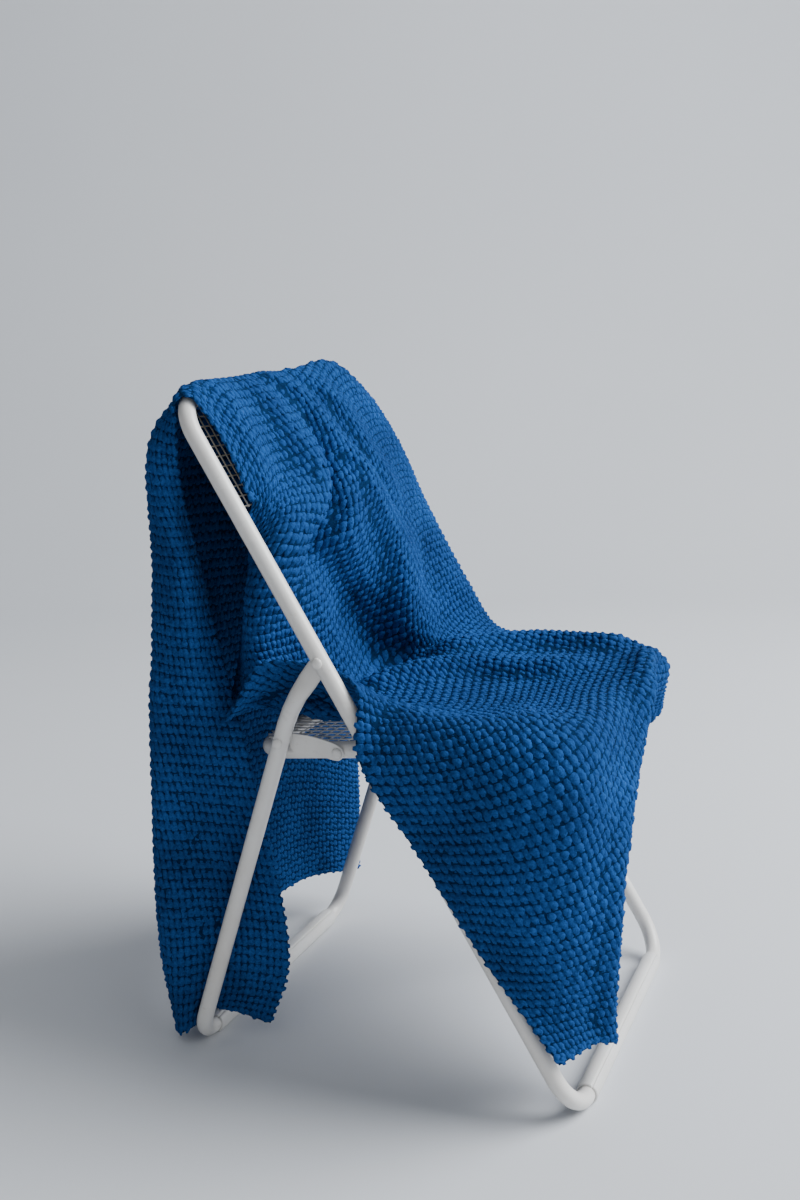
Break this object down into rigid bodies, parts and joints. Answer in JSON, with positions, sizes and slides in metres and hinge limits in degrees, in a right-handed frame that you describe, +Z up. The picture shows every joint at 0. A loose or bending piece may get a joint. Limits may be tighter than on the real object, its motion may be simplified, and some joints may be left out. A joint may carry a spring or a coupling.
{
  "type": "knitted wool throw on a folding mesh chair",
  "caption": "Chunky blue knitted wool throw draped unevenly over a white tubular folding chair with wire-mesh seat and back.",
  "frame": {"origin": "on the floor, under the middle of the overall size seen from above", "axes": "+X the way the chair faces, +Y away from the side where the throw hangs lowest in front, +Z up"},
  "size_m": [0.5547, 0.5073, 0.7903],
  "materials": {
    "wool": "matte chunky seed-stitch knit in medium blue",
    "white_paint": "semi-gloss warm white paint",
    "sleeve_plastic": "off-white plastic"
  },
  "bodies": {
    "root": {"throw": "wool", "main_top_rail": "white_paint", "main_floor_bar": "white_paint", "main_side_near": "white_paint", "main_side_far": "white_paint", "rear_floor_bar": "white_paint", "rear_leg_near": "white_paint", "rear_leg_far": "white_paint", "seat_front_bar": "white_paint", "seat_rear_bar": "white_paint", "seat_side_near": "white_paint", "seat_side_far": "white_paint", "seat_mesh": "white_paint", "back_mesh": "white_paint", "link_near": "white_paint", "link_far": "white_paint", "pivot_rivet_near": "white_paint", "pivot_rivet_far": "white_paint", "seat_rivet_near": "white_paint", "seat_rivet_far": "white_paint", "link_rivet_near": "white_paint", "link_rivet_far": "white_paint", "sleeve_front": "sleeve_plastic", "sleeve_rear": "sleeve_plastic"}
  },
  "joints": []
}
